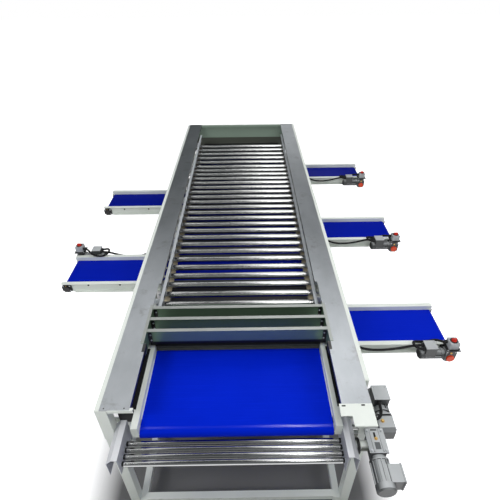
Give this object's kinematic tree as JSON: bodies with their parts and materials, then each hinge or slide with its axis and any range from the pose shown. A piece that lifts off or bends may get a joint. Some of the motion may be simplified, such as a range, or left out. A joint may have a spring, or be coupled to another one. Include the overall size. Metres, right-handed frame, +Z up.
{
  "type": "roller grader",
  "caption": "Long fruit grader: spinning steel rollers between stainless covers, cross conveyors under the rollers, a transfer belt, a short roller table and geared drives.",
  "frame": {"origin": "on the floor under the middle of the machine's bounding box, cables left out", "axes": "+X to the right seen from the roller table, +Y from the table to the rear panel, +Z up"},
  "size_m": [3.398, 5.326, 1.403],
  "materials": {
    "brushed_sheet": "brushed stainless sheet with smudges",
    "white_paint": "satin off-white powder coat",
    "zinc_plate": "bluish zinc plating",
    "polished_steel": "turned and polished steel",
    "cream_belt": "matt cream drive belt",
    "blue_belt": "satin ultramarine belt",
    "black_plastic": "black moulded plastic",
    "grey_paint": "grey paint on castings",
    "orange_plastic": "orange-red cap",
    "red_plastic": "red knob",
    "grey_plastic": "grey switch housing",
    "cable_jacket": "black cable jacket"
  },
  "bodies": {
    "frame": {"baffle_plates": "brushed_sheet", "conveyor_belts": "blue_belt", "conveyor_frames": "white_paint", "drum_bearings": "black_plastic", "friction_belts": "cream_belt", "gearmotors": "grey_paint", "isolator_boxes": "grey_plastic", "legs": "white_paint", "painted_plates": "white_paint", "power_cables": "cable_jacket", "roller_axles": "zinc_plate", "shaft_caps": "orange_plastic", "side_bars": "zinc_plate", "side_frames": "white_paint", "table_sides": "brushed_sheet", "top_covers": "brushed_sheet"},
    "grader_roller_01": {"grader_roller_01": "polished_steel"},
    "grader_roller_02": {"grader_roller_02": "polished_steel"},
    "grader_roller_03": {"grader_roller_03": "polished_steel"},
    "grader_roller_04": {"grader_roller_04": "polished_steel"},
    "grader_roller_05": {"grader_roller_05": "polished_steel"},
    "grader_roller_06": {"grader_roller_06": "polished_steel"},
    "grader_roller_07": {"grader_roller_07": "polished_steel"},
    "grader_roller_08": {"grader_roller_08": "polished_steel"},
    "grader_roller_09": {"grader_roller_09": "polished_steel"},
    "grader_roller_10": {"grader_roller_10": "polished_steel"},
    "grader_roller_11": {"grader_roller_11": "polished_steel"},
    "grader_roller_12": {"grader_roller_12": "polished_steel"},
    "grader_roller_13": {"grader_roller_13": "polished_steel"},
    "grader_roller_14": {"grader_roller_14": "polished_steel"},
    "grader_roller_15": {"grader_roller_15": "polished_steel"},
    "grader_roller_16": {"grader_roller_16": "polished_steel"},
    "grader_roller_17": {"grader_roller_17": "polished_steel"},
    "grader_roller_18": {"grader_roller_18": "polished_steel"},
    "grader_roller_19": {"grader_roller_19": "polished_steel"},
    "grader_roller_20": {"grader_roller_20": "polished_steel"},
    "grader_roller_21": {"grader_roller_21": "polished_steel"},
    "grader_roller_22": {"grader_roller_22": "polished_steel"},
    "grader_roller_23": {"grader_roller_23": "polished_steel"},
    "grader_roller_24": {"grader_roller_24": "polished_steel"},
    "grader_roller_25": {"grader_roller_25": "polished_steel"},
    "grader_roller_26": {"grader_roller_26": "polished_steel"},
    "grader_roller_27": {"grader_roller_27": "polished_steel"},
    "grader_roller_28": {"grader_roller_28": "polished_steel"},
    "friction_drive_drum": {"friction_drive_drum": "polished_steel"},
    "friction_tail_drum": {"friction_tail_drum": "polished_steel"},
    "table_roller_1": {"table_roller_1": "polished_steel"},
    "table_roller_2": {"table_roller_2": "polished_steel"},
    "table_roller_3": {"table_roller_3": "polished_steel"},
    "table_roller_4": {"table_roller_4": "polished_steel"},
    "transfer_drive_drum": {"transfer_drive_drum": "polished_steel"},
    "transfer_tail_drum": {"transfer_tail_drum": "polished_steel"},
    "right_drive_drums": {"right_drive_drums": "polished_steel"},
    "right_tail_drums": {"right_tail_drums": "polished_steel"},
    "left_drive_drums": {"left_drive_drums": "polished_steel"},
    "left_tail_drums": {"left_tail_drums": "polished_steel"},
    "isolator_knob_1": {"isolator_knob_1": "red_plastic"},
    "isolator_knob_2": {"isolator_knob_2": "red_plastic"},
    "isolator_knob_3": {"isolator_knob_3": "red_plastic"},
    "isolator_knob_4": {"isolator_knob_4": "red_plastic"}
  },
  "joints": [
    {"name": "grader_roller_01_spin", "type": "hinge", "parent": "frame", "child": "grader_roller_01", "pos_m": [0, -1.197, 1.181], "axis": [1, 0, 0], "continuous": true},
    {"name": "grader_roller_02_spin", "type": "hinge", "parent": "frame", "child": "grader_roller_02", "pos_m": [0, -1.0735, 1.181], "axis": [1, 0, 0], "continuous": true},
    {"name": "grader_roller_03_spin", "type": "hinge", "parent": "frame", "child": "grader_roller_03", "pos_m": [0, -0.95, 1.181], "axis": [1, 0, 0], "continuous": true},
    {"name": "grader_roller_04_spin", "type": "hinge", "parent": "frame", "child": "grader_roller_04", "pos_m": [0, -0.8265, 1.181], "axis": [1, 0, 0], "continuous": true},
    {"name": "grader_roller_05_spin", "type": "hinge", "parent": "frame", "child": "grader_roller_05", "pos_m": [0, -0.703, 1.181], "axis": [1, 0, 0], "continuous": true},
    {"name": "grader_roller_06_spin", "type": "hinge", "parent": "frame", "child": "grader_roller_06", "pos_m": [0, -0.5795, 1.181], "axis": [1, 0, 0], "continuous": true},
    {"name": "grader_roller_07_spin", "type": "hinge", "parent": "frame", "child": "grader_roller_07", "pos_m": [0, -0.456, 1.181], "axis": [1, 0, 0], "continuous": true},
    {"name": "grader_roller_08_spin", "type": "hinge", "parent": "frame", "child": "grader_roller_08", "pos_m": [0, -0.3325, 1.181], "axis": [1, 0, 0], "continuous": true},
    {"name": "grader_roller_09_spin", "type": "hinge", "parent": "frame", "child": "grader_roller_09", "pos_m": [0, -0.209, 1.181], "axis": [1, 0, 0], "continuous": true},
    {"name": "grader_roller_10_spin", "type": "hinge", "parent": "frame", "child": "grader_roller_10", "pos_m": [0, -0.0855, 1.181], "axis": [1, 0, 0], "continuous": true},
    {"name": "grader_roller_11_spin", "type": "hinge", "parent": "frame", "child": "grader_roller_11", "pos_m": [0, 0.038, 1.181], "axis": [1, 0, 0], "continuous": true},
    {"name": "grader_roller_12_spin", "type": "hinge", "parent": "frame", "child": "grader_roller_12", "pos_m": [0, 0.1615, 1.181], "axis": [1, 0, 0], "continuous": true},
    {"name": "grader_roller_13_spin", "type": "hinge", "parent": "frame", "child": "grader_roller_13", "pos_m": [0, 0.285, 1.181], "axis": [1, 0, 0], "continuous": true},
    {"name": "grader_roller_14_spin", "type": "hinge", "parent": "frame", "child": "grader_roller_14", "pos_m": [0, 0.4085, 1.181], "axis": [1, 0, 0], "continuous": true},
    {"name": "grader_roller_15_spin", "type": "hinge", "parent": "frame", "child": "grader_roller_15", "pos_m": [0, 0.532, 1.181], "axis": [1, 0, 0], "continuous": true},
    {"name": "grader_roller_16_spin", "type": "hinge", "parent": "frame", "child": "grader_roller_16", "pos_m": [0, 0.6555, 1.181], "axis": [1, 0, 0], "continuous": true},
    {"name": "grader_roller_17_spin", "type": "hinge", "parent": "frame", "child": "grader_roller_17", "pos_m": [0, 0.779, 1.181], "axis": [1, 0, 0], "continuous": true},
    {"name": "grader_roller_18_spin", "type": "hinge", "parent": "frame", "child": "grader_roller_18", "pos_m": [0, 0.9025, 1.181], "axis": [1, 0, 0], "continuous": true},
    {"name": "grader_roller_19_spin", "type": "hinge", "parent": "frame", "child": "grader_roller_19", "pos_m": [0, 1.026, 1.181], "axis": [1, 0, 0], "continuous": true},
    {"name": "grader_roller_20_spin", "type": "hinge", "parent": "frame", "child": "grader_roller_20", "pos_m": [0, 1.1495, 1.181], "axis": [1, 0, 0], "continuous": true},
    {"name": "grader_roller_21_spin", "type": "hinge", "parent": "frame", "child": "grader_roller_21", "pos_m": [0, 1.273, 1.181], "axis": [1, 0, 0], "continuous": true},
    {"name": "grader_roller_22_spin", "type": "hinge", "parent": "frame", "child": "grader_roller_22", "pos_m": [0, 1.3965, 1.181], "axis": [1, 0, 0], "continuous": true},
    {"name": "grader_roller_23_spin", "type": "hinge", "parent": "frame", "child": "grader_roller_23", "pos_m": [0, 1.52, 1.181], "axis": [1, 0, 0], "continuous": true},
    {"name": "grader_roller_24_spin", "type": "hinge", "parent": "frame", "child": "grader_roller_24", "pos_m": [0, 1.667, 1.181], "axis": [1, 0, 0], "continuous": true},
    {"name": "grader_roller_25_spin", "type": "hinge", "parent": "frame", "child": "grader_roller_25", "pos_m": [0, 1.814, 1.181], "axis": [1, 0, 0], "continuous": true},
    {"name": "grader_roller_26_spin", "type": "hinge", "parent": "frame", "child": "grader_roller_26", "pos_m": [0, 1.961, 1.181], "axis": [1, 0, 0], "continuous": true},
    {"name": "grader_roller_27_spin", "type": "hinge", "parent": "frame", "child": "grader_roller_27", "pos_m": [0, 2.108, 1.181], "axis": [1, 0, 0], "continuous": true},
    {"name": "grader_roller_28_spin", "type": "hinge", "parent": "frame", "child": "grader_roller_28", "pos_m": [0, 2.255, 1.181], "axis": [1, 0, 0], "continuous": true},
    {"name": "friction_drive_drum_spin", "type": "hinge", "parent": "frame", "child": "friction_drive_drum", "pos_m": [0, -1.259, 1.1214], "axis": [1, 0, 0], "continuous": true},
    {"name": "friction_tail_drum_spin", "type": "hinge", "parent": "frame", "child": "friction_tail_drum", "pos_m": [0, 2.317, 1.1214], "axis": [1, 0, 0], "continuous": true},
    {"name": "table_roller_1_spin", "type": "hinge", "parent": "frame", "child": "table_roller_1", "pos_m": [0, -2.335, 1.0925], "axis": [1, 0, 0], "continuous": true},
    {"name": "table_roller_2_spin", "type": "hinge", "parent": "frame", "child": "table_roller_2", "pos_m": [0, -2.3755, 1.0925], "axis": [1, 0, 0], "continuous": true},
    {"name": "table_roller_3_spin", "type": "hinge", "parent": "frame", "child": "table_roller_3", "pos_m": [0, -2.416, 1.0925], "axis": [1, 0, 0], "continuous": true},
    {"name": "table_roller_4_spin", "type": "hinge", "parent": "frame", "child": "table_roller_4", "pos_m": [0, -2.4565, 1.0925], "axis": [1, 0, 0], "continuous": true},
    {"name": "transfer_drive_drum_spin", "type": "hinge", "parent": "frame", "child": "transfer_drive_drum", "pos_m": [0, -2.275, 1.1367], "axis": [1, 0, 0], "continuous": true},
    {"name": "transfer_tail_drum_spin", "type": "hinge", "parent": "frame", "child": "transfer_tail_drum", "pos_m": [0, -1.7, 1.1367], "axis": [1, 0, 0], "continuous": true},
    {"name": "right_drive_drums_spin", "type": "hinge", "parent": "frame", "child": "right_drive_drums", "pos_m": [1.647, 0, 0.9907], "axis": [0, 1, 0], "continuous": true},
    {"name": "right_tail_drums_spin", "type": "hinge", "parent": "frame", "child": "right_tail_drums", "pos_m": [-0.6, 0, 0.9907], "axis": [0, 1, 0], "continuous": true},
    {"name": "left_drive_drums_spin", "type": "hinge", "parent": "frame", "child": "left_drive_drums", "pos_m": [-1.647, 0, 0.9907], "axis": [0, 1, 0], "continuous": true},
    {"name": "left_tail_drums_spin", "type": "hinge", "parent": "frame", "child": "left_tail_drums", "pos_m": [0.6, 0, 0.9907], "axis": [0, 1, 0], "continuous": true},
    {"name": "isolator_knob_1_turn", "type": "hinge", "parent": "frame", "child": "isolator_knob_1", "pos_m": [1.647, -1.603, 1.1517], "axis": [0, 0, 1], "range_deg": [0, 90]},
    {"name": "isolator_knob_2_turn", "type": "hinge", "parent": "frame", "child": "isolator_knob_2", "pos_m": [1.647, -0.151, 1.1517], "axis": [0, 0, 1], "range_deg": [0, 90]},
    {"name": "isolator_knob_3_turn", "type": "hinge", "parent": "frame", "child": "isolator_knob_3", "pos_m": [1.647, 1.346, 1.1517], "axis": [0, 0, 1], "range_deg": [0, 90]},
    {"name": "isolator_knob_4_turn", "type": "hinge", "parent": "frame", "child": "isolator_knob_4", "pos_m": [-1.647, -0.276, 1.1517], "axis": [0, 0, 1], "range_deg": [0, 90]}
  ],
  "couplings": [
    {"joint": "grader_roller_02_spin", "follows": "grader_roller_01_spin", "ratio": 1},
    {"joint": "grader_roller_03_spin", "follows": "grader_roller_01_spin", "ratio": 1},
    {"joint": "grader_roller_04_spin", "follows": "grader_roller_01_spin", "ratio": 1},
    {"joint": "grader_roller_05_spin", "follows": "grader_roller_01_spin", "ratio": 1},
    {"joint": "grader_roller_06_spin", "follows": "grader_roller_01_spin", "ratio": 1},
    {"joint": "grader_roller_07_spin", "follows": "grader_roller_01_spin", "ratio": 1},
    {"joint": "grader_roller_08_spin", "follows": "grader_roller_01_spin", "ratio": 1},
    {"joint": "grader_roller_09_spin", "follows": "grader_roller_01_spin", "ratio": 1},
    {"joint": "grader_roller_10_spin", "follows": "grader_roller_01_spin", "ratio": 1},
    {"joint": "grader_roller_11_spin", "follows": "grader_roller_01_spin", "ratio": 1},
    {"joint": "grader_roller_12_spin", "follows": "grader_roller_01_spin", "ratio": 1},
    {"joint": "grader_roller_13_spin", "follows": "grader_roller_01_spin", "ratio": 1},
    {"joint": "grader_roller_14_spin", "follows": "grader_roller_01_spin", "ratio": 1},
    {"joint": "grader_roller_15_spin", "follows": "grader_roller_01_spin", "ratio": 1},
    {"joint": "grader_roller_16_spin", "follows": "grader_roller_01_spin", "ratio": 1},
    {"joint": "grader_roller_17_spin", "follows": "grader_roller_01_spin", "ratio": 1},
    {"joint": "grader_roller_18_spin", "follows": "grader_roller_01_spin", "ratio": 1},
    {"joint": "grader_roller_19_spin", "follows": "grader_roller_01_spin", "ratio": 1},
    {"joint": "grader_roller_20_spin", "follows": "grader_roller_01_spin", "ratio": 1},
    {"joint": "grader_roller_21_spin", "follows": "grader_roller_01_spin", "ratio": 1},
    {"joint": "grader_roller_22_spin", "follows": "grader_roller_01_spin", "ratio": 1},
    {"joint": "grader_roller_23_spin", "follows": "grader_roller_01_spin", "ratio": 1},
    {"joint": "grader_roller_24_spin", "follows": "grader_roller_01_spin", "ratio": 1},
    {"joint": "grader_roller_25_spin", "follows": "grader_roller_01_spin", "ratio": 1},
    {"joint": "grader_roller_26_spin", "follows": "grader_roller_01_spin", "ratio": 1},
    {"joint": "grader_roller_27_spin", "follows": "grader_roller_01_spin", "ratio": 1},
    {"joint": "grader_roller_28_spin", "follows": "grader_roller_01_spin", "ratio": 1},
    {"joint": "friction_drive_drum_spin", "follows": "grader_roller_01_spin", "ratio": -0.96667},
    {"joint": "friction_tail_drum_spin", "follows": "grader_roller_01_spin", "ratio": -0.96667},
    {"joint": "table_roller_2_spin", "follows": "table_roller_1_spin", "ratio": 1},
    {"joint": "table_roller_3_spin", "follows": "table_roller_1_spin", "ratio": 1},
    {"joint": "table_roller_4_spin", "follows": "table_roller_1_spin", "ratio": 1},
    {"joint": "transfer_tail_drum_spin", "follows": "transfer_drive_drum_spin", "ratio": 1},
    {"joint": "right_tail_drums_spin", "follows": "right_drive_drums_spin", "ratio": 1},
    {"joint": "left_tail_drums_spin", "follows": "left_drive_drums_spin", "ratio": 1}
  ]
}
